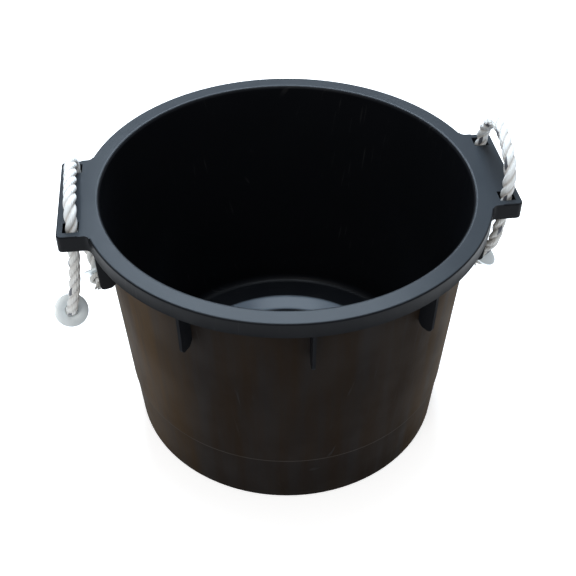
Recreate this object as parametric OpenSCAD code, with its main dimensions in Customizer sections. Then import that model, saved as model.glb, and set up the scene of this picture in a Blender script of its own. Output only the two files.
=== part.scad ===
// Mortar mixing tub with two rope handles.
// Millimetres. Origin at the centre of the base, +Z up, +X through the right lug,
// the front is -Y. One moulded tub, two ropes, four washers and four knots.

/* [Tub] */
// Outside diameter of the rim
rim_d = 470; // [430:1:520]
// Height from the ground to the top of the rim
height = 330; // [260:1:400]
// Slope of the side wall from the vertical, degrees
draft = 3.5; // [1:0.1:6]
// Thickness of the side wall
wall_t = 3.6; // [3:0.1:6]
// Height of the small ledge round the foot of the wall
ledge_z = 75; // [40:1:120]
// How far the wall steps in below the ledge
ledge_t = 1.2; // [0.5:0.1:1.5]

/* [Rim] */
// How far the rim stands out from the wall
rim_w = 19.5; // [14:0.5:30]
// Thickness of the flat top of the rim
rim_t = 3.5; // [2.5:0.1:6]
// Depth of the skirt that hangs from the rim's edge
skirt_h = 19; // [10:0.5:30]
// Thickness of the skirt
skirt_t = 3; // [2:0.1:5]
// Rounding of the rim's outer top edge
rim_round = 2; // [1:0.1:2.4]
// Rounding of the lip where the rim turns into the bowl
lip_round = 4.2; // [2:0.1:6]

/* [Floor] */
// Thickness of the floor
floor_t = 3.5; // [2.5:0.1:6]
// Height of the floor's outer ring above the ground, inside
floor_z = 13; // [10:0.5:20]
// How far the middle of the floor lies below its outer ring
dish_h = 8; // [3:0.5:8]
// Diameter of the flat middle of the floor
dish_d = 270; // [180:1:300]
// Width of the slope round the middle of the floor
dish_w = 20; // [12:1:30]
// Rounding between the wall and the floor, inside
floor_round = 10; // [4:0.5:14]
// Width of the ring that the tub stands on
foot_w = 6.5; // [5:0.5:10]
// Rounding of the foot's outer edge
foot_round = 2.5; // [1:0.1:3]

/* [Fins] */
// Thickness of a fin under the rim
fin_t = 3.5; // [2:0.1:5]
// How far a fin's outer corner hangs below the skirt
fin_drop = 53; // [30:1:80]
// How much higher the fin's foot meets the wall
fin_rise = 9; // [2:1:20]
// Rounding of a fin's outer corner
fin_round = 6; // [2:0.5:10]
// Angle between neighbouring fins, degrees
fin_pitch = 35; // [28:1:36]

/* [Lugs] */
// How far a lug stands out past the rim
lug_out = 23; // [20:0.5:40]
// Depth of the skirt that hangs round a lug
lug_h = 20; // [14:0.5:30]
// Width of a lug along the rim
lug_w = 144; // [130:1:180]
// Rounding of a lug's outer corners
lug_round = 6; // [3:0.5:8]
// Rounding in the corner between a lug and the rim
lug_fillet = 7; // [5:0.5:20]
// Width of a rope hole, which is square
hole_w = 17.5; // [15:0.5:22]
// Distance between the two rope holes of a lug
hole_pitch = 111; // [100:1:116]
// Plastic left outside a rope hole
hole_edge = 7; // [4:0.5:9]
// Wall of the sleeve that hangs round a rope hole
sleeve_t = 2.5; // [1.5:0.1:3]

/* [Rope and washers] */
// Diameter of the rope
rope_d = 13.5; // [10:0.5:16]
// Outside diameter of a washer
washer_d = 40; // [34:1:44]
// Thickness of a washer
washer_t = 2; // [1.2:0.1:3]
// Gap all round the rope in a washer
washer_gap = 0.75; // [0.4:0.05:1.5]
// Play between a washer and the knot below it
knot_gap = 0.3; // [0.2:0.05:0.6]
// Length of the loose strand ends that hang out of a knot
tail_l = 10; // [6:1:20]

/* [Hidden] */

ROUND_FN = 96;
ROPE_SIDES = 10;
KNOT_STEPS = 42;
KNOT_SIDES = 8;
SINK = 1;                 // how far a welded piece reaches into its neighbour

rim_r = rim_d/2;
skirt_z = height - skirt_h;
plate_z = height - rim_t;
lug_z = height - lug_h;
wall_top_r = rim_r - rim_w;
lug_x = rim_r + lug_out;
hole_x = lug_x - hole_edge - hole_w/2;
dish_r = dish_d/2;
lug_wall_t = skirt_t;
strand_d = rope_d/(1 + 2/sqrt(3));      // three strands side by side fill the rope
knot_r = 0.54*rope_d;                   // the ring that a knot's strands wind round
weave_r = 0.255*rope_d;                 // how far they swing off that ring

// Outside radius of the side wall at a height, and the inside one
function wall_r(z) = wall_top_r - (skirt_z - z)*tan(draft);
function bore_r(z) = wall_r(z) - wall_t;

// Points of an arc round c, from angle a to angle b
function arc(c, r, a, b, n = 6) = [for (i = [0:n]) let(t = a + (b - a)*i/n) c + r*[cos(t), sin(t)]];

// Route of each rope, from its front end to its rear end. The first and the last
// run are straight: the washer and the knot sit on them.
LEFT_ROUTE = [
    [-262, -36.5, 192.5], [-260, -47, 202.5], [-257.5, -53, 212], [-255, -55.5, 222],
    [-252, -55.5, 235], [-249, -55.5, 252], [-246.5, -55.5, 272], [-244, -55.5, 292],
    [-242.5, -55.5, 312], [-241.5, -53.8, 330], [-241, -50, 341], [-241, -41, 349],
    [-241, -26, 352.5], [-241.5, -8, 353.5], [-242, 8, 353.5], [-242.5, 24, 353],
    [-243, 39, 350], [-242.5, 49.5, 342.5], [-242, 53.8, 331], [-242, 55.5, 316],
    [-243, 55.5, 303], [-245, 56, 282], [-247, 56.5, 260], [-248.5, 57.5, 243],
    [-247.5, 58.5, 227], [-244.5, 59, 212], [-241, 57, 199.5], [-238.5, 53, 191],
    [-236, 47, 185], [-233.5, 35.5, 176.5]];
RIGHT_ROUTE = [
    [224.5, -43.5, 233.5], [232, -46, 246.5], [235, -50, 255], [237, -53.8, 264],
    [238.8, -55.2, 275], [240.5, -55.5, 294], [242, -55.5, 312], [243, -53.8, 330],
    [243.5, -54, 342], [244, -52, 354], [244, -45, 366], [244, -33.5, 375],
    [244, -18, 381.5], [244, -2, 384], [244, 14, 381.5], [244, 29, 373.5],
    [244, 42, 362], [243.5, 50.5, 348.5], [243, 53.8, 331], [242, 55.5, 316],
    [240.5, 55.5, 297], [238.5, 55.5, 277], [236.5, 55.5, 256], [235.5, 55, 235],
    [235, 54.5, 212], [234.5, 54.5, 190], [234.5, 54.5, 175], [234.5, 54.5, 160]];

// The tub

// Cross-section of the bowl, the rim and the skirt, as radius and height
function tub_section() =
    let(ledge_r = wall_r(ledge_z) - ledge_t,
        foot_r = wall_r(0) - ledge_t,
        under_z = floor_z - floor_t,
        lip_z = height - lip_round,
        corner = [bore_r(floor_z + floor_round) - floor_round, floor_z + floor_round])
    concat(
        [[0, under_z - dish_h], [dish_r, under_z - dish_h], [dish_r + dish_w, under_z],
         [foot_r - foot_w - 3, under_z], [foot_r - foot_w, 0]],
        arc([foot_r - foot_round, foot_round], foot_round, -90, 0, 4),
        [[ledge_r, ledge_z - ledge_t], [wall_r(ledge_z), ledge_z],
         [wall_r(plate_z), plate_z], [rim_r - skirt_t, plate_z], [rim_r - skirt_t, skirt_z + 0.5],
         [rim_r - skirt_t + 0.5, skirt_z], [rim_r - 0.5, skirt_z], [rim_r, skirt_z + 0.5]],
        arc([rim_r - rim_round, height - rim_round], rim_round, 0, 90, 5),
        arc([bore_r(lip_z) + lip_round, lip_z], lip_round, 90, 180, 6),
        arc(corner, floor_round, 0, -90, 8),
        [[dish_r + dish_w + 1, floor_z], [dish_r + dish_w - 2, floor_z - 0.8],
         [dish_r + 2, floor_z - dish_h + 0.8], [dish_r - 1, floor_z - dish_h],
         [0, floor_z - dish_h]]);

// Plan of a lug: a round-cornered block with a fillet on each side against the rim
function lug_plan() =
    let(half = lug_w/2,
        fr = lug_fillet,
        fx = sqrt(pow(rim_r + fr, 2) - pow(half + fr, 2)),
        touch = atan2(half + fr, fx),
        root_x = rim_r*cos(touch) - skirt_t,
        cr = lug_round)
    concat(
        [[root_x, 0], [root_x, -rim_r*sin(touch)]],
        arc([fx, -half - fr], fr, 180 - touch, 90, 5),
        arc([lug_x - cr, cr - half], cr, -90, 0, 5),
        arc([lug_x - cr, half - cr], cr, 0, 90, 5),
        arc([fx, half + fr], fr, -90, touch - 180, 5),
        [[root_x, rim_r*sin(touch)]]);

// A square prism through each rope hole
module hole_prism(z0, z1) {
    for (side = [-1, 1])
        translate([hole_x - hole_w/2, side*hole_pitch/2 - hole_w/2, z0]) cube([hole_w, hole_w, z1 - z0]);
}

// What a rounded edge loses, with the middle of the rounding at 0
module edge_loss() {
    difference() {
        square(rim_round + 1);
        circle(rim_round, $fn = 24);
    }
}

// Its children, and their mirror image on the -Y side
module both_sides() {
    children();
    mirror([0, 1, 0]) children();
}

// Rounds the top edge of a lug: its outer edge, its two sides and its corners
module lug_edge() {
    half = lug_w/2;
    translate([lug_x - rim_round, half - lug_round, height - rim_round])
        rotate([90, 0, 0]) linear_extrude(lug_w - 2*lug_round) edge_loss();
    both_sides() {
        translate([rim_r, half - rim_round, height - rim_round])
            rotate([90, 0, 90]) linear_extrude(lug_out - lug_round) edge_loss();
        translate([lug_x - lug_round, half - lug_round, height - rim_round])
            rotate_extrude(angle = 90, $fn = ROUND_FN) translate([lug_round - rim_round, 0]) edge_loss();
    }
}

// One lug at +X: a flat top, a skirt all round, a sleeve round each hole and a middle rib
module lug() {
    sleeve_x = hole_x - hole_w/2 - sleeve_t;
    sleeve_w = hole_w + 2*sleeve_t;
    difference() {
        union() {
            difference() {
                translate([0, 0, lug_z]) linear_extrude(lug_h) polygon(lug_plan());
                translate([rim_r - SINK, -lug_w/2 + lug_wall_t, lug_z - SINK])
                    cube([lug_out + SINK - lug_wall_t, lug_w - 2*lug_wall_t, lug_h - rim_t + SINK]);
            }
            for (side = [-1, 1])
                translate([sleeve_x, side*hole_pitch/2 - sleeve_w/2, lug_z])
                    cube([lug_x - SINK - sleeve_x, sleeve_w, lug_h - SINK]);
            translate([rim_r - SINK, -skirt_t/2, lug_z]) cube([lug_out, skirt_t, lug_h - SINK]);
        }
        hole_prism(lug_z - SINK, height + SINK);
        lug_edge();
    }
}

// One fin at +X, in the corner between the wall and the rim, with a rounded foot
module fin() {
    foot_z = skirt_z - fin_drop;
    foot_r = rim_r - skirt_t;
    inner_r = wall_r(foot_z + fin_rise);
    translate([0, fin_t/2, 0]) rotate([90, 0, 0])
        linear_extrude(fin_t) polygon(concat(
            [[inner_r - SINK, foot_z + fin_rise], [inner_r + 2, foot_z + 0.4*fin_rise]],
            [[inner_r + 6, foot_z]],
            arc([foot_r - fin_round, foot_z + fin_round], fin_round, -80, 0, 5),
            [[rim_r - skirt_t/2, skirt_z + SINK], [rim_r - skirt_t/2, plate_z + SINK],
             [wall_r(plate_z) - SINK, plate_z + SINK]]));
}

module tub() {
    color([0.09, 0.09, 0.10]) union() {
        rotate_extrude($fn = ROUND_FN) polygon(tub_section());
        difference() {
            union() for (turn = [0, 180]) rotate(turn) lug();
            // the lugs end inside the rim and leave the bowl clear
            translate([0, 0, lug_z - SINK])
                cylinder(r = rim_r - skirt_t + 0.5, h = lug_h + 2*SINK, $fn = ROUND_FN);
        }
        for (facing = [-90, 90], step = [-2:2]) rotate(facing + step*fin_pitch) fin();
    }
}

// The ropes

function unit(v) = v/norm(v);

// Direction of the route at point i
function heading(pts, i) =
    i == 0 ? unit(pts[1] - pts[0]) :
    i == len(pts) - 1 ? unit(pts[i] - pts[i - 1]) :
    unit(unit(pts[i + 1] - pts[i]) + unit(pts[i] - pts[i - 1]));

// A side direction for every point, carried along the route without twisting
function side_dirs(pts, i = 0, out = []) =
    i == len(pts) ? out :
    let(h = heading(pts, i),
        last = i == 0 ? [1, 0, 0] : out[i - 1],
        s = unit(last - (last*h)*h))
    side_dirs(pts, i + 1, concat(out, [s]));

// One tube along the route
module swept_tube(pts, d, sides) {
    dirs = side_dirs(pts);
    rings = [for (i = [0:len(pts) - 1])
        let(h = heading(pts, i), s = dirs[i], u = cross(h, s))
        for (k = [0:sides - 1]) pts[i] + d/2*(cos(360*k/sides)*s + sin(360*k/sides)*u)];
    last = (len(pts) - 1)*sides;
    walls = [for (i = [0:len(pts) - 2], k = [0:sides - 1])
        let(a = i*sides + k, b = i*sides + (k + 1)%sides)
        each [[a, a + sides, b], [b, a + sides, b + sides]]];
    caps = [[for (k = [0:sides - 1]) k], [for (k = [sides - 1:-1:0]) last + k]];
    polyhedron(rings, concat(walls, caps), convexity = 10);
}

module rope(pts) {
    color("white") swept_tube(pts, rope_d, ROPE_SIDES);
}

// Washers and knots

// How far a washer's middle lies from the end of its rope, which ends inside the knot
washer_seat = 8;

// Puts its children on a straight end of a rope, +Z up the rope and 0 at the washer
module at_end(tip, next) {
    up = unit(next - tip);
    translate(tip + washer_seat*up)
        rotate([0, acos(up[2]), atan2(up[1], up[0])]) children();
}

module washer() {
    color([0.72, 0.75, 0.78]) difference() {
        cylinder(d = washer_d, h = washer_t, center = true, $fn = 64);
        cylinder(d = rope_d + 2*washer_gap, h = 2*washer_t, center = true, $fn = 48);
    }
}

// A stopper knot: the rope's strands are walled and crowned into a button. They go round
// the axis twice while they swing over and under each other three times.
function knot_swing(a) = 1.5*a;
function knot_off(a) = [cos(knot_swing(a))*cos(a), cos(knot_swing(a))*sin(a), sin(knot_swing(a))];
function knot_point(a) = knot_r*[cos(a), sin(a), 0] + weave_r*knot_off(a);

module knot_weave() {
    rings = [for (i = [0:KNOT_STEPS - 1])
        let(a = 720*i/KNOT_STEPS,
            h = unit(knot_point(a + 1) - knot_point(a - 1)),
            s = knot_off(a),
            u = cross(h, s))
        for (k = [0:KNOT_SIDES - 1])
            let(t = 360*k/KNOT_SIDES) knot_point(a) + strand_d/2*(cos(t)*s + sin(t)*u)];
    count = len(rings);
    faces = [for (i = [0:KNOT_STEPS - 1], k = [0:KNOT_SIDES - 1])
        let(a = i*KNOT_SIDES + k,
            b = i*KNOT_SIDES + (k + 1)%KNOT_SIDES,
            c = (a + KNOT_SIDES)%count,
            d = (b + KNOT_SIDES)%count)
        each [[a, c, b], [b, c, d]]];
    polyhedron(rings, faces, convexity = 10);
}

module knot() {
    half_h = weave_r + strand_d/2;
    color("white") translate([0, 0, -(washer_t/2 + knot_gap + half_h)]) {
        knot_weave();
        translate([0, 0, -0.8*half_h]) cylinder(d = 0.8*strand_d, h = 1.6*half_h, $fn = 16);
        for (turn = [0, 120, 240])
            rotate([0, 0, turn]) translate([0.35*strand_d, 0, 0]) rotate([0, 168, 0])
                cylinder(d = 0.9*strand_d, h = half_h + tail_l, $fn = 12);
    }
}

module front_end(pts) { at_end(pts[0], pts[1]) children(); }
module rear_end(pts) { at_end(pts[len(pts) - 1], pts[len(pts) - 2]) children(); }

tub();
rope(LEFT_ROUTE);  // left_rope
rope(RIGHT_ROUTE);  // right_rope
front_end(LEFT_ROUTE) washer();  // left_front_washer
rear_end(LEFT_ROUTE) washer();  // left_rear_washer
front_end(RIGHT_ROUTE) washer();  // right_front_washer
rear_end(RIGHT_ROUTE) washer();  // right_rear_washer
front_end(LEFT_ROUTE) knot();  // left_front_knot
rear_end(LEFT_ROUTE) knot();  // left_rear_knot
front_end(RIGHT_ROUTE) knot();  // right_front_knot
rear_end(RIGHT_ROUTE) knot();  // right_rear_knot
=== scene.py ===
import random
from math import acos, atan2, cos, pi, radians, sin, sqrt, tan, tau

import bpy
from mathutils import Matrix, Vector


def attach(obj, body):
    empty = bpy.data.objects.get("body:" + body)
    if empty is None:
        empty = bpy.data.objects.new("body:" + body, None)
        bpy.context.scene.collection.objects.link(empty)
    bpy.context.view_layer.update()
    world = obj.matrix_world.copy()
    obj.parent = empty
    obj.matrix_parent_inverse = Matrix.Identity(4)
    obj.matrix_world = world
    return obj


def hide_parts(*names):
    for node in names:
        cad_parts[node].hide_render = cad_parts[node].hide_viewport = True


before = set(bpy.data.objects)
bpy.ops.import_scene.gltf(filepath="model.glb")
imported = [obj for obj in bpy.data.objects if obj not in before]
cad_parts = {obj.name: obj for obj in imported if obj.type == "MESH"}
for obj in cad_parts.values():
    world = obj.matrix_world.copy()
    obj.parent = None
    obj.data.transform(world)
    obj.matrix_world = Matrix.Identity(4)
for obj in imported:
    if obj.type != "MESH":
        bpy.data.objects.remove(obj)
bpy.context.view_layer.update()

bpy.ops.object.select_all(action="DESELECT")


# ---- Camera ---------------------------------------------------------------------------
# It stands in front of the tub and a little to the left, and looks down into the bowl.
# The aim, the distance and the angles come from the rim, base and lugs in the photograph.
CAMERA_AIM = Vector((0.0015, 0.0, 0.1668))
CAMERA_DISTANCE = 1.2310
CAMERA_TILT = radians(41.9)
CAMERA_SIDE = radians(-6.9)
CAMERA_LENS = 61.2

camera_back = Vector((
    sin(CAMERA_SIDE) * cos(CAMERA_TILT),
    -cos(CAMERA_SIDE) * cos(CAMERA_TILT),
    sin(CAMERA_TILT),
))
bpy.ops.object.camera_add(location=CAMERA_AIM + CAMERA_DISTANCE * camera_back)
camera = bpy.context.object
camera.name = "camera"
camera.rotation_euler = (-camera_back).to_track_quat("-Z", "Y").to_euler()
camera.data.lens = CAMERA_LENS
camera.data.sensor_width = 36.0
camera.data.clip_end = 20.0
bpy.context.scene.camera = camera


# ---- Rope handles ---------------------------------------------------------------------
# White polypropylene rope of three strands, 13.5 mm thick, cut to two short lengths.
# Each one comes up through the lug's rear hole, arches over and goes down the front one.
# The lay opens a little over the arch, and one yarn of one strand is a dark blue tracer.
ROPE_D = 0.0135
ROPE_LAY = 0.046
ROPE_OPENING = 0.08
LUG_TOP = 0.330
STRANDS = 3
STRAND_R = 0.31 * ROPE_D
STRAND_OFF = ROPE_D / 2 - STRAND_R
STRAND_POINTS = 15
STRAND_ARC = radians(184)
RING_STEP = 0.0011

LEFT_ROUTE = [
    (-262, -36.5, 192.5), (-260, -47, 202.5), (-257.5, -53, 212), (-255, -55.5, 222),
    (-252, -55.5, 235), (-249, -55.5, 252), (-246.5, -55.5, 272), (-244, -55.5, 292),
    (-242.5, -55.5, 312), (-241.5, -53.8, 330), (-241, -50, 341), (-241, -41, 349),
    (-241, -26, 352.5), (-241.5, -8, 353.5), (-242, 8, 353.5), (-242.5, 24, 353),
    (-243, 39, 350), (-242.5, 49.5, 342.5), (-242, 53.8, 331), (-242, 55.5, 316),
    (-243, 55.5, 303), (-245, 56, 282), (-247, 56.5, 260), (-248.5, 57.5, 243),
    (-247.5, 58.5, 227), (-244.5, 59, 212), (-241, 57, 199.5), (-238.5, 53, 191),
    (-236, 47, 185), (-233.5, 35.5, 176.5),
]
RIGHT_ROUTE = [
    (224.5, -43.5, 233.5), (232, -46, 246.5), (235, -50, 255), (237, -53.8, 264),
    (238.8, -55.2, 275), (240.5, -55.5, 294), (242, -55.5, 312), (243, -53.8, 330),
    (243.5, -54, 342), (244, -52, 354), (244, -45, 366), (244, -33.5, 375),
    (244, -18, 381.5), (244, -2, 384), (244, 14, 381.5), (244, 29, 373.5),
    (244, 42, 362), (243.5, 50.5, 348.5), (243, 53.8, 331), (242, 55.5, 316),
    (240.5, 55.5, 297), (238.5, 55.5, 277), (236.5, 55.5, 256), (235.5, 55, 235),
    (235, 54.5, 212), (234.5, 54.5, 190), (234.5, 54.5, 175), (234.5, 54.5, 160),
]


def metres(points):
    return [Vector(p) / 1000 for p in points]


def smooth_line(points, step):
    """A curve through the points, as close points about one step apart."""
    line = []
    last = len(points) - 1
    for i in range(last):
        p1, p2 = points[i], points[i + 1]
        p0 = points[i - 1] if i > 0 else p1 - (p2 - p1)
        p3 = points[i + 2] if i + 2 <= last else p2 + (p2 - p1)
        t0, t1, t2 = ((b - a).length ** 0.5 for a, b in ((p0, p1), (p1, p2), (p2, p3)))
        m1 = (p2 - p1) + t1 * ((p1 - p0) / t0 - (p2 - p0) / (t0 + t1))
        m2 = (p2 - p1) + t1 * ((p3 - p2) / t2 - (p3 - p1) / (t1 + t2))
        count = max(2, round((p2 - p1).length / step))
        for k in range(count):
            s = k / count
            line.append(
                (2 * s**3 - 3 * s**2 + 1) * p1 + (s**3 - 2 * s**2 + s) * m1
                + (3 * s**2 - 2 * s**3) * p2 + (s**3 - s**2) * m2
            )
    line.append(points[last].copy())
    return line


def rings_from(line, outline, sizes, turns):
    """One ring of points round each point of the line, sized and turned along it."""
    vertices = []
    side = Vector((1, 0, 0))
    for i, point in enumerate(line):
        before = line[max(i - 1, 0)]
        after = line[min(i + 1, len(line) - 1)]
        ahead = (after - before).normalized()
        side = (side - side.dot(ahead) * ahead).normalized()
        other = ahead.cross(side)
        for x, y, _ in outline:
            across = x * cos(turns[i]) - y * sin(turns[i])
            up = x * sin(turns[i]) + y * cos(turns[i])
            vertices.append(point + sizes[i] * (across * side + up * other))
    return vertices


def runs_of(line):
    """The length along the line up to each of its points."""
    runs = [0.0]
    for a, b in zip(line, line[1:]):
        runs.append(runs[-1] + (b - a).length)
    return runs


def cover(mesh, vertices, shares, runs, closed=False):
    """Joins the rings to a tube. Its UV map holds the share of a ring and the length."""
    sides = len(shares)
    rings = len(vertices) // sides
    bands = rings if closed else rings - 1
    faces = []
    for i in range(bands):
        here, there = i * sides, (i + 1) % rings * sides
        for k in range(sides):
            n = (k + 1) % sides
            faces.append((here + k, here + n, there + n, there + k))
    if not closed:
        faces.append(tuple(reversed(range(sides))))
        faces.append(tuple((rings - 1) * sides + k for k in range(sides)))
    mesh.from_pydata(vertices, [], faces)
    uv = mesh.uv_layers.new(name="strands").data
    for face in range(bands * sides):
        i, k = divmod(face, sides)
        u0 = shares[k]
        u1 = shares[(k + 1) % sides]
        if u1 < u0 or int(u1) != int(u0):
            u1 = u0
        loops = mesh.polygons[face].loop_indices
        for loop, u, v in zip(loops, (u0, u1, u1, u0), (i, i, i + 1, i + 1)):
            uv[loop].uv = (u, runs[v] / ROPE_LAY)
    mesh.polygons.foreach_set("use_smooth", [True] * len(mesh.polygons))


def strand_outline():
    """The rope's cross-section: three round strands side by side, with a groove between."""
    outline = []
    for strand in range(STRANDS):
        for k in range(STRAND_POINTS):
            share = k / (STRAND_POINTS - 1)
            turn = (share - 0.5) * STRAND_ARC
            x = STRAND_OFF + STRAND_R * cos(turn)
            y = STRAND_R * sin(turn)
            around = tau * strand / STRANDS
            outline.append((
                x * cos(around) - y * sin(around),
                x * sin(around) + y * cos(around),
                strand + 0.03 + 0.94 * share,
            ))
    return outline


def make_rope(name, line, start_turn):
    """A mesh of twisted strands along a line."""
    outline = strand_outline()
    runs = runs_of(line)
    turns = [start_turn + tau * run / ROPE_LAY for run in runs]
    sizes = []
    for point in line:
        above = min(max((point.z - LUG_TOP) / 0.014, 0.0), 1.0)
        sizes.append(1 + ROPE_OPENING * above)
    mesh = bpy.data.meshes.new(name)
    cover(mesh, rings_from(line, outline, sizes, turns), [p[2] for p in outline], runs)
    rope = bpy.data.objects.new(name, mesh)
    bpy.context.collection.objects.link(rope)
    return rope


def new_material(name):
    """An empty node material with its shader, and short calls to add and join nodes."""
    material = bpy.data.materials.new(name)
    material.use_nodes = True
    tree = material.node_tree
    shader = tree.nodes["Principled BSDF"]

    def add(kind, settings=None, **inputs):
        node = tree.nodes.new(kind)
        for key, value in (settings or {}).items():
            setattr(node, key, value)
        for key, value in inputs.items():
            socket = node.inputs[int(key[1:])] if key[1:].isdigit() else node.inputs[key]
            if isinstance(value, bpy.types.NodeSocket):
                tree.links.new(value, socket)
            else:
                socket.default_value = value
        return node

    def link(output, socket_name):
        tree.links.new(output, shader.inputs[socket_name])

    return material, shader, add, link


def polypropylene():
    """White split-film yarns laid along the rope, painted shade in the soft grooves, and the blue tracer.
    """
    material, shader, add, link = new_material("rope_polypropylene")

    def math(operation, a, b=0.0, c=0.0, clamp=False):
        settings = {"operation": operation, "use_clamp": clamp}
        return add("ShaderNodeMath", settings, _0=a, _1=b, _2=c).outputs[0]

    strands = add("ShaderNodeUVMap", {"uv_map": "strands"}).outputs[0]
    parts = add("ShaderNodeSeparateXYZ", None, _0=strands)
    around, along = parts.outputs[0], parts.outputs[1]
    share = math("FRACT", around)
    strand = math("FLOOR", around)
    # the yarns of a laid strand run along the rope, so this stays the same on one yarn
    yarn = math("MULTIPLY_ADD", along, 3.0, around)

    spread = add("ShaderNodeCombineXYZ", None, _0=math("MULTIPLY", yarn, 9.0), _1=along)
    fibres = add("ShaderNodeTexNoise", None, Vector=spread.outputs[0], Scale=4.0, Detail=5.0,
                 Roughness=0.62)
    bundles = add("ShaderNodeTexNoise", None, Vector=spread.outputs[0], Scale=0.9, Detail=2.0)
    place = add("ShaderNodeTexCoord").outputs["Object"]
    soil = add("ShaderNodeTexNoise", None, Vector=place, Scale=38.0, Detail=4.0)
    ridge = math("SINE", math("MULTIPLY", yarn, tau * 5))

    # painted shade: each strand is coloured darker towards its edges, in the grooves between strands and,
    # on the knots, on the inner side of each drawn strand
    edge = math("MINIMUM", share, math("SUBTRACT", 1.0, share))
    crest = add("ShaderNodeMapRange", {"interpolation_type": "SMOOTHSTEP"}, _0=edge, _1=0.02, _2=0.30)

    film = add("ShaderNodeMix", {"data_type": "RGBA"}, _0=fibres.outputs["Fac"],
               _6=(0.83, 0.86, 0.86, 1), _7=(0.93, 0.96, 0.97, 1))
    soiled = add("ShaderNodeMapRange", None, _0=soil.outputs["Fac"], _1=0.52, _2=0.74, _3=0.0, _4=0.25)
    # painted shade: the legs below the lugs are coloured a little darker and warmer than the arches, for
    # the shade and warmer light down there; the soil patches share that colour
    rope_z = add("ShaderNodeSeparateXYZ", None, _0=place).outputs[2]
    leg_shade = add("ShaderNodeMapRange", {"interpolation_type": "SMOOTHSTEP"}, _0=rope_z,
              _1=LUG_TOP - 0.005, _2=LUG_TOP - 0.030, _3=0.0, _4=0.38)
    soiled_and_shaded = add("ShaderNodeMix", {"data_type": "RGBA"},
               _0=math("ADD", soiled.outputs[0], leg_shade.outputs[0], clamp=True), _6=film.outputs[2],
               _7=(0.60, 0.54, 0.45, 1))
    groove_shaded = add("ShaderNodeMix", {"data_type": "RGBA"}, _0=crest.outputs[0],
                 _6=(0.60, 0.58, 0.55, 1), _7=soiled_and_shaded.outputs[2])

    # the tracer shows on the second strand each time its yarn comes to the surface
    beat = math("PINGPONG", math("ADD", yarn, 0.35), 1.375)
    on_yarn = math("LESS_THAN", beat, 0.15)
    on_strand = math("COMPARE", strand, 1.0, 0.4)
    on_crest = math("GREATER_THAN", edge, 0.13)
    tracer = math("MULTIPLY", math("MULTIPLY", on_yarn, on_strand), on_crest)
    dyed = add("ShaderNodeMix", {"data_type": "RGBA"}, _0=math("MULTIPLY", tracer, 0.93),
               _6=groove_shaded.outputs[2], _7=(0.012, 0.018, 0.040, 1))
    link(dyed.outputs[2], "Base Color")

    height = math("MULTIPLY_ADD", ridge, 0.25, math("MULTIPLY_ADD", fibres.outputs["Fac"], 0.8,
                                                    bundles.outputs["Fac"]))
    bump = add("ShaderNodeBump", None, Strength=0.75, Distance=0.0009, Height=height)
    link(bump.outputs[0], "Normal")
    rough = add("ShaderNodeMapRange", None, _0=fibres.outputs["Fac"], _1=0.3, _2=0.7, _3=0.42, _4=0.62)
    link(rough.outputs[0], "Roughness")
    shader.inputs["Sheen Weight"].default_value = 0.25
    shader.inputs["Sheen Roughness"].default_value = 0.5
    return material


rope_polypropylene = polypropylene()
left_line = smooth_line(metres(LEFT_ROUTE), RING_STEP)
right_line = smooth_line(metres(RIGHT_ROUTE), RING_STEP)
left_rope = make_rope("left_rope_laid", left_line, radians(20))
right_rope = make_rope("right_rope_laid", right_line, radians(75))

for rope, node, body in (
    (left_rope, "left_rope", "left_handle"),
    (right_rope, "right_rope", "right_handle"),
):
    rope.data.materials.append(rope_polypropylene)
    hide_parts(node)
    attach(rope, body)


# ---- Stopper knots --------------------------------------------------------------------
# Below each washer the rope's strands are walled and crowned into a button, and their
# three ends hang out of it, cut short and frayed. The button can't pass the washer.
WASHER_SEAT = 0.008
WASHER_T = 0.002
KNOT_GAP = 0.0003
DRAWN_R = 0.205 * ROPE_D
KNOT_R = 0.48 * ROPE_D
WEAVE_R = 0.23 * ROPE_D
KNOT_HALF = WEAVE_R + DRAWN_R
KNOT_RINGS = 150
KNOT_SIDES = 20
TAIL_LENGTH = KNOT_HALF + 0.006
TAIL_LEAN = radians(12)
FRAY_YARNS = 22
FRAY_R = 0.00042


def at_end(line):
    """The frame of a rope's end: +Z up the rope, with 0 in the middle of its washer."""
    up = (line[4] - line[0]).normalized()
    place = Matrix.Translation(line[0] + WASHER_SEAT * up)
    return place @ Matrix.Rotation(atan2(up.y, up.x), 4, "Z") @ Matrix.Rotation(acos(up.z), 4, "Y")


def round_outline(sides, radius, first_share, last_share):
    """A circle that starts on the inner side, with a share that runs round it."""
    outline = []
    for k in range(sides):
        turn = pi + tau * k / sides
        share = first_share + (last_share - first_share) * k / (sides - 1)
        outline.append((radius * cos(turn), radius * sin(turn), share))
    return outline


def button_mesh(name):
    """The woven part: one closed run that goes round twice and swings three times."""
    outline = round_outline(KNOT_SIDES, DRAWN_R, 1.12, 1.88)

    def off(turn):
        swing = 1.5 * turn
        return Vector((cos(swing) * cos(turn), cos(swing) * sin(turn), sin(swing)))

    def centre(turn):
        return KNOT_R * Vector((cos(turn), sin(turn), 0)) + WEAVE_R * off(turn)

    vertices = []
    runs = [0.0]
    for i in range(KNOT_RINGS):
        turn = 2 * tau * i / KNOT_RINGS
        ahead = (centre(turn + 0.01) - centre(turn - 0.01)).normalized()
        side = off(turn)
        other = ahead.cross(side)
        for x, y, _ in outline:
            vertices.append(centre(turn) + x * side + y * other)
        runs.append(runs[-1] + (centre(turn + 2 * tau / KNOT_RINGS) - centre(turn)).length)
    mesh = bpy.data.meshes.new(name)
    cover(mesh, vertices, [p[2] for p in outline], runs, closed=True)
    return mesh


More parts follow.
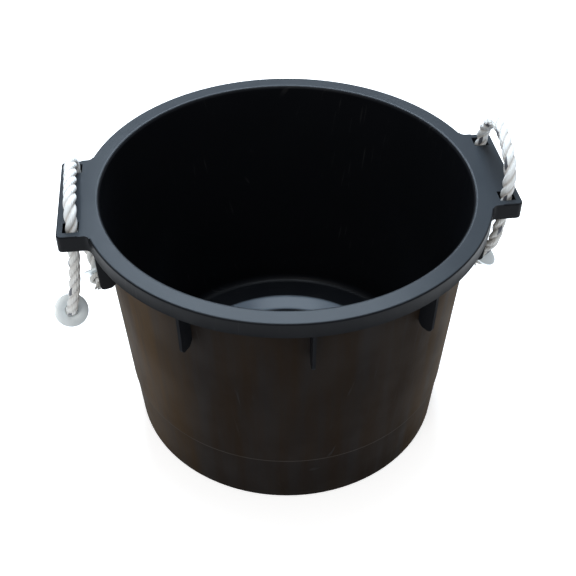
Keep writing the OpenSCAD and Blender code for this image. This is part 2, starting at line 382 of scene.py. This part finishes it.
def tail_meshes(name, rng):
    """A strand end that leans out of the button, and the yarns that fray from it."""
    tilt = Vector((sin(TAIL_LEAN), 0, -cos(TAIL_LEAN)))
    root = Vector((0.7 * DRAWN_R, 0, 0))
    line = []
    for i in range(15):
        s = i / 14
        line.append(root + TAIL_LENGTH * s * tilt + 0.0006 * sin(pi * s) * Vector((0, 1, 0)))
    outline = round_outline(KNOT_SIDES, DRAWN_R, 0.12, 0.88)
    sizes = [0.90 + 0.16 * (i / 14) ** 3 for i in range(15)]
    strand = bpy.data.meshes.new(name)
    cover(strand, rings_from(line, outline, sizes, [0.0] * 15), [p[2] for p in outline], runs_of(line))
    meshes = [strand]
    for _ in range(FRAY_YARNS):
        around = rng.uniform(0, tau)
        reach = DRAWN_R * sqrt(rng.uniform(0.02, 0.85))
        foot = line[-2] + reach * Vector((cos(around), sin(around), 0))
        splay = Vector((cos(around), sin(around), 0)) * rng.uniform(0.1, 0.55)
        curl = Vector((rng.uniform(-1, 1), rng.uniform(-1, 1), rng.uniform(-0.3, 0.3)))
        length = rng.uniform(0.0018, 0.0046)
        yarn = []
        for i in range(6):
            s = i / 5
            yarn.append(foot + length * (s * (tilt + splay) + 0.25 * s * s * curl))
        ring = round_outline(5, FRAY_R, 0.3, 0.7)
        mesh = bpy.data.meshes.new(name)
        thinning = [1.15 - 0.35 * i / 5 for i in range(6)]
        cover(mesh, rings_from(yarn, ring, thinning, [0.0] * 6), [p[2] for p in ring], runs_of(yarn))
        meshes.append(mesh)
    return meshes


def make_knot(name, line, seed):
    """Joins the button and its three frayed ends and sets them below the washer."""
    rng = random.Random(seed)
    middle = Matrix.Translation((0, 0, -(WASHER_T / 2 + KNOT_GAP + KNOT_HALF)))
    place = at_end(line) @ middle
    pieces = [(button_mesh(name), place)]
    for k in range(STRANDS):
        turned = place @ Matrix.Rotation(tau * k / STRANDS, 4, "Z")
        pieces += [(mesh, turned) for mesh in tail_meshes(name, rng)]
    bpy.ops.object.select_all(action="DESELECT")
    for mesh, where in pieces:
        mesh.transform(where)
        mesh.materials.append(rope_polypropylene)
        part = bpy.data.objects.new(name, mesh)
        bpy.context.collection.objects.link(part)
        part.select_set(True)
        bpy.context.view_layer.objects.active = part
    bpy.ops.object.join()
    knot = bpy.context.object
    knot.name = name
    bpy.ops.object.select_all(action="DESELECT")
    return knot


rope_ends = (
    ("left_front", left_line, "left_handle"),
    ("left_rear", left_line[::-1], "left_handle"),
    ("right_front", right_line, "right_handle"),
    ("right_rear", right_line[::-1], "right_handle"),
)
for seed, (place_name, line, body) in enumerate(rope_ends):
    knot = make_knot(place_name + "_knot_tied", line, 40 + seed)
    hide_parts(place_name + "_knot")
    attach(knot, body)


# ---- Washers --------------------------------------------------------------------------
# Flat steel washers, stamped and zinc plated, 40 mm wide, loose on the rope. One side has
# the rounded edge that the punch leaves. They spread the knot's pull over the lug.
WASHER_R = 0.020
WASHER_HOLE_R = ROPE_D / 2 + 0.00075
WASHER_EDGE = 0.00045


def zinc_plate():
    """Bluish zinc: faint turned marks, a fine spangle, handling scratches, dull patches."""
    material, shader, add, link = new_material("washer_zinc_plate")
    disc = add("ShaderNodeUVMap", {"uv_map": "disc"}).outputs[0]
    ring = add("ShaderNodeTexWave", {"wave_type": "RINGS", "rings_direction": "Z"}, Vector=disc,
               Scale=150.0, Distortion=6.0, Detail=2.0)
    spangle = add("ShaderNodeTexVoronoi", None, Vector=disc, Scale=240.0)
    dull = add("ShaderNodeTexNoise", None, Vector=disc, Scale=70.0, Detail=4.0, Roughness=0.6)
    across = add("ShaderNodeMapping", None, Vector=disc, Rotation=(0, 0, radians(35)), Scale=(40, 900, 1))
    marks = add("ShaderNodeTexNoise", None, Vector=across.outputs[0], Scale=1.0, Detail=3.0)

    tone = add("ShaderNodeMix", {"data_type": "RGBA"}, _0=dull.outputs["Fac"],
               _6=(0.64, 0.71, 0.74, 1), _7=(0.84, 0.89, 0.91, 1))
    scratch = add("ShaderNodeMapRange", None, _0=marks.outputs["Fac"], _1=0.60, _2=0.68, _3=0.0, _4=0.35)
    bare = add("ShaderNodeMix", {"data_type": "RGBA"}, _0=scratch.outputs[0], _6=tone.outputs[2],
               _7=(0.92, 0.93, 0.93, 1))
    link(bare.outputs[2], "Base Color")
    rough = add("ShaderNodeMapRange", None, _0=dull.outputs["Fac"], _1=0.35, _2=0.65, _3=0.30, _4=0.50)
    link(rough.outputs[0], "Roughness")
    relief = add("ShaderNodeMath", {"operation": "MULTIPLY_ADD"}, _0=ring.outputs["Fac"], _1=0.35,
                 _2=spangle.outputs["Distance"])
    bump = add("ShaderNodeBump", None, Strength=0.25, Distance=0.00025, Height=relief.outputs[0])
    link(bump.outputs[0], "Normal")
    shader.inputs["Metallic"].default_value = 0.80
    return material


washer_zinc_plate = zinc_plate()


def make_washer(name, where):
    """A disc with its hole, given its thickness and edges, and set square to the rope."""
    bpy.ops.mesh.primitive_circle_add(vertices=96, radius=WASHER_R, location=(0, 0, 0))
    washer = bpy.context.object
    washer.name = name
    bpy.ops.object.mode_set(mode="EDIT")
    bpy.ops.mesh.select_all(action="SELECT")
    bpy.ops.mesh.extrude_edges_move()
    inwards = WASHER_HOLE_R / WASHER_R
    bpy.ops.transform.resize(value=(inwards, inwards, 1))
    bpy.ops.mesh.select_all(action="SELECT")
    bpy.ops.mesh.normals_make_consistent(inside=False)
    bpy.ops.object.mode_set(mode="OBJECT")
    thick = washer.modifiers.new("thickness", "SOLIDIFY")
    thick.thickness = WASHER_T
    thick.offset = 0.0
    rounded = washer.modifiers.new("edges", "BEVEL")
    rounded.width = WASHER_EDGE
    rounded.segments = 3
    rounded.limit_method = "ANGLE"
    for modifier in ("thickness", "edges"):
        bpy.ops.object.modifier_apply(modifier=modifier)
    bpy.ops.object.shade_smooth_by_angle(angle=radians(35))
    mesh = washer.data
    disc = mesh.uv_layers.new(name="disc").data
    for loop in mesh.loops:
        at = mesh.vertices[loop.vertex_index].co
        disc[loop.index].uv = (at.x, at.y)
    mesh.materials.append(washer_zinc_plate)
    mesh.transform(where)
    bpy.ops.object.select_all(action="DESELECT")
    return washer


for place_name, line, _ in rope_ends:
    washer = make_washer(place_name + "_washer_plated", at_end(line))
    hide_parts(place_name + "_washer")
    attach(washer, place_name + "_washer")


# ---- Tub ------------------------------------------------------------------------------
# One injection moulding in black polyethylene with a wide rim, two lugs and ten fins.
# It is near black inside; its outside has a faint warm painted reflection of the ground, and
# its rim's top a grey-blue painted reflection of the sky.
TUB_RIM_Z = LUG_TOP
TUB_WALL_Z = 0.311
TUB_WALL_R = 0.2155
TUB_DRAFT = tan(radians(3.5))
TUB_LEDGE_Z = 0.075
LEDGE_HALF = 0.0012
DISH_R = 0.135
DISH_W = 0.020


def black_polyethylene():
    """Satin black with a fine grain, drag marks down the wall and scuffs; a warm painted reflection
    outside, and painted reflection and highlights on top.
    """
    material, shader, add, link = new_material("tub_polyethylene")
    place = add("ShaderNodeTexCoord").outputs["Object"]
    spot = add("ShaderNodeSeparateXYZ", None, _0=place)
    facing = add("ShaderNodeNewGeometry").outputs["Normal"]
    facing_parts = add("ShaderNodeSeparateXYZ", None, _0=facing)

    def vector(operation, a, b):
        return add("ShaderNodeVectorMath", {"operation": operation}, _0=a, _1=b)

    def mapped(value, low, high, to_low, to_high):
        node = add("ShaderNodeMapRange", {"interpolation_type": "SMOOTHSTEP"},
                   _0=value, _1=low, _2=high, _3=to_low, _4=to_high)
        return node.outputs[0]

    def times(a, b):
        return add("ShaderNodeMath", {"operation": "MULTIPLY"}, _0=a, _1=b).outputs[0]

    flat_place = vector("MULTIPLY", place, (1, 1, 0)).outputs[0]
    outwards = vector("DOT_PRODUCT", vector("NORMALIZE", flat_place, (0, 0, 0)).outputs[0], facing)
    outside = mapped(outwards.outputs["Value"], 0.3, 0.9, 0.0, 1.0)
    below_rim = mapped(spot.outputs[2], TUB_WALL_Z + 0.02, TUB_WALL_Z - 0.01, 0.0, 1.0)
    wall = times(outside, below_rim)

    # the warm painted reflection keeps off the fins and lugs, which stand out from the drafted wall
    wall_r = add("ShaderNodeMath", {"operation": "MULTIPLY_ADD"}, _0=spot.outputs[2], _1=TUB_DRAFT,
                 _2=TUB_WALL_R - TUB_RIM_Z * TUB_DRAFT)
    spot_r = vector("LENGTH", flat_place, (0, 0, 0)).outputs["Value"]
    stands_out = add("ShaderNodeMath", {"operation": "SUBTRACT"}, _0=spot_r, _1=wall_r.outputs[0])
    plain = times(wall, mapped(stands_out.outputs[0], 0.0025, 0.005, 1.0, 0.0))
    # painted shade: below the ledge, near the floor, the painted reflection is a fifth weaker
    band = mapped(spot.outputs[2], TUB_LEDGE_Z - 0.004, TUB_LEDGE_Z - 0.001, 0.80, 1.0)
    # painted highlight: a thin lighter line round the outside at the ledge's bead
    from_ledge = add("ShaderNodeMath", {"operation": "COMPARE"}, _0=spot.outputs[2], _1=TUB_LEDGE_Z,
                     _2=LEDGE_HALF)
    ledge = times(times(outside, from_ledge.outputs[0]), 0.8)

    drawn = add("ShaderNodeMapping", None, Vector=place, Scale=(46, 46, 2.2))
    drag = add("ShaderNodeTexNoise", None, Vector=drawn.outputs[0], Scale=1.0, Detail=5.0, Roughness=0.6)
    grain = add("ShaderNodeTexNoise", None, Vector=place, Scale=950.0, Detail=2.0)
    clouds = add("ShaderNodeTexNoise", None, Vector=place, Scale=16.0, Detail=4.0)
    hairs = add("ShaderNodeMapping", None, Vector=place, Rotation=(0.3, 0.2, 0.8), Scale=(18, 700, 18))
    scuffs = add("ShaderNodeTexNoise", None, Vector=hairs.outputs[0], Scale=1.0, Detail=2.0)

    # painted reflection: the outside wall's warm tone stands in for the warm ground it reflects, streaked
    # by the drag marks
    warm_reflection = times(times(plain, band), mapped(drag.outputs["Fac"], 0.30, 0.70, 0.45, 1.0))
    # painted reflection: faces turned to the left and right, where the tub's sides are seen at a grazing
    # angle, get a stronger, warmer painted reflection
    sideways = add("ShaderNodeMath", {"operation": "ABSOLUTE"}, _0=facing_parts.outputs[0])
    at_sides = mapped(sideways.outputs[0], 0.50, 0.98, 0.0, 1.0)
    reflection_tint = add("ShaderNodeMix", {"data_type": "RGBA"}, _0=at_sides,
               _6=(0.0138, 0.0082, 0.0044, 1), _7=(0.078, 0.047, 0.021, 1))
    tone = add("ShaderNodeMix", {"data_type": "RGBA"}, _0=warm_reflection,
               _6=(0.0055, 0.0062, 0.0078, 1), _7=reflection_tint.outputs[2])
    scuffed = times(mapped(scuffs.outputs["Fac"], 0.64, 0.72, 0.0, 0.5),
                    mapped(clouds.outputs["Fac"], 0.45, 0.65, 0.0, 1.0))
    worn = add("ShaderNodeMix", {"data_type": "RGBA"}, _0=scuffed, _6=tone.outputs[2],
               _7=(0.030, 0.030, 0.031, 1))
    ledge_highlighted = add("ShaderNodeMix", {"data_type": "RGBA"}, _0=ledge, _6=worn.outputs[2],
                _7=(0.046, 0.041, 0.036, 1))

    # painted reflection: the rim's top is coloured grey-blue, a painted reflection of the sky above; the
    # slope round the dished floor gets a lighter grey-blue painted highlight
    up = facing_parts.outputs[2]
    on_top = times(mapped(up, 0.80, 0.98, 0.0, 1.0),
                   mapped(spot.outputs[2], TUB_RIM_Z - 0.006, TUB_RIM_Z - 0.003, 0.0, 1.0))
    sky_lit_top = add("ShaderNodeMix", {"data_type": "RGBA"}, _0=on_top, _6=ledge_highlighted.outputs[2],
                 _7=(0.032, 0.038, 0.045, 1))
    # painted highlight: the ring on the slope round the dished floor is painted light bluish-grey where
    # the light above glints on it; the same mask also makes it smoother
    ring = times(mapped(spot_r, DISH_R - 0.002, DISH_R + 0.002, 0.0, 1.0),
                 mapped(spot_r, DISH_R + DISH_W - 0.002, DISH_R + DISH_W + 0.002, 1.0, 0.0))
    polish_and_highlight = times(ring, mapped(up, 0.5, 0.8, 0.0, 1.0))
    dish_highlighted = add("ShaderNodeMix", {"data_type": "RGBA"}, _0=polish_and_highlight, _6=sky_lit_top.outputs[2],
                   _7=(0.125, 0.152, 0.185, 1))
    link(dish_highlighted.outputs[2], "Base Color")

    clouded = mapped(clouds.outputs["Fac"], 0.30, 0.70, 0.30, 0.42)
    streaked = times(wall, mapped(drag.outputs["Fac"], 0.35, 0.70, 0.36, 0.48))
    rough = add("ShaderNodeMath", {"operation": "ADD"}, _0=clouded, _1=streaked)
    smooth = add("ShaderNodeMath", {"operation": "MAXIMUM"}, _0=times(on_top, 0.6), _1=polish_and_highlight)
    rubbed = add("ShaderNodeMix", {"data_type": "FLOAT"}, _0=smooth.outputs[0], _2=rough.outputs[0],
                 _3=0.16)
    link(rubbed.outputs[0], "Roughness")
    relief = add("ShaderNodeMath", {"operation": "MULTIPLY_ADD"}, _0=grain.outputs["Fac"], _1=0.05,
                 _2=times(clouds.outputs["Fac"], 1.0))
    bump = add("ShaderNodeBump", None, Strength=0.35, Distance=0.0012, Height=relief.outputs[0])
    link(bump.outputs[0], "Normal")
    shader.inputs["Specular IOR Level"].default_value = 0.07
    return material


tub_polyethylene = black_polyethylene()
for slot in bpy.data.objects["tub"].material_slots:
    slot.material = tub_polyethylene


# ---- Floor and light ------------------------------------------------------------------
# A plain white floor that keeps the tub's soft shadow and an even pale surround. A soft
# light behind lies on the rim, one above on the bowl's floor, a smaller one is in front.
FLOOR_LIFT = 0.62
SURROUND_STRENGTH = 0.48


def floor_paper():
    """White paper. The camera and mirror-like surfaces see it a little brighter."""
    material, shader, add, link = new_material("floor_paper")
    place = add("ShaderNodeTexCoord").outputs["Object"]
    tooth = add("ShaderNodeTexNoise", None, Vector=place, Scale=300.0, Detail=2.0)
    tone = add("ShaderNodeMix", {"data_type": "RGBA"}, _0=tooth.outputs["Fac"],
               _6=(0.88, 0.88, 0.88, 1), _7=(0.92, 0.92, 0.92, 1))
    link(tone.outputs[2], "Base Color")
    shader.inputs["Roughness"].default_value = 0.9
    shader.inputs["Specular IOR Level"].default_value = 0.1
    rays = add("ShaderNodeLightPath")
    seen = add("ShaderNodeMath", {"operation": "MAXIMUM"}, _0=rays.outputs["Is Camera Ray"],
               _1=rays.outputs["Is Glossy Ray"])
    seen = add("ShaderNodeMath", {"operation": "MAXIMUM"}, _0=seen.outputs[0],
               _1=rays.outputs["Is Transmission Ray"])
    lift = add("ShaderNodeMath", {"operation": "MULTIPLY"}, _0=seen.outputs[0], _1=FLOOR_LIFT)
    shader.inputs["Emission Color"].default_value = (1, 1, 1, 1)
    link(lift.outputs[0], "Emission Strength")
    return material


bpy.ops.mesh.primitive_plane_add(size=12.0, location=(0, 0, 0))
floor = bpy.context.object
floor.name = "floor"
floor.data.materials.append(floor_paper())


def add_surround():
    """Pale grey all round for the light, and white where the camera looks past the floor."""
    world = bpy.data.worlds.new("surround")
    bpy.context.scene.world = world
    world.use_nodes = True
    nodes = world.node_tree.nodes
    links = world.node_tree.links
    even = nodes["Background"]
    even.inputs["Color"].default_value = (0.97, 0.98, 1.0, 1)
    even.inputs["Strength"].default_value = SURROUND_STRENGTH
    white = nodes.new("ShaderNodeBackground")
    white.inputs["Color"].default_value = (1, 1, 1, 1)
    rays = nodes.new("ShaderNodeLightPath")
    mix = nodes.new("ShaderNodeMixShader")
    links.new(rays.outputs["Is Camera Ray"], mix.inputs[0])
    links.new(even.outputs[0], mix.inputs[1])
    links.new(white.outputs[0], mix.inputs[2])
    links.new(mix.outputs[0], nodes["World Output"].inputs["Surface"])


def add_soft_light(name, place, size, power, colour):
    """A square soft light that faces the middle of the tub."""
    bpy.ops.object.light_add(type="AREA", location=place)
    light = bpy.context.object
    light.name = name
    light.rotation_euler = (Vector(place) - Vector((0, 0, 0.2))).to_track_quat("Z", "Y").to_euler()
    light.data.size = size
    light.data.energy = power
    light.data.color = colour


add_surround()
add_soft_light("light_behind", (0.10, 1.75, 2.2), 1.2, 60, (0.74, 0.87, 1.0))
add_soft_light("light_above", (0.0, 0.35, 2.9), 1.0, 52, (0.80, 0.90, 1.0))
add_soft_light("light_in_front", (-1.3, -2.2, 2.6), 1.6, 20, (1.0, 0.95, 0.88))

bpy.context.scene.view_settings.view_transform = "Standard"
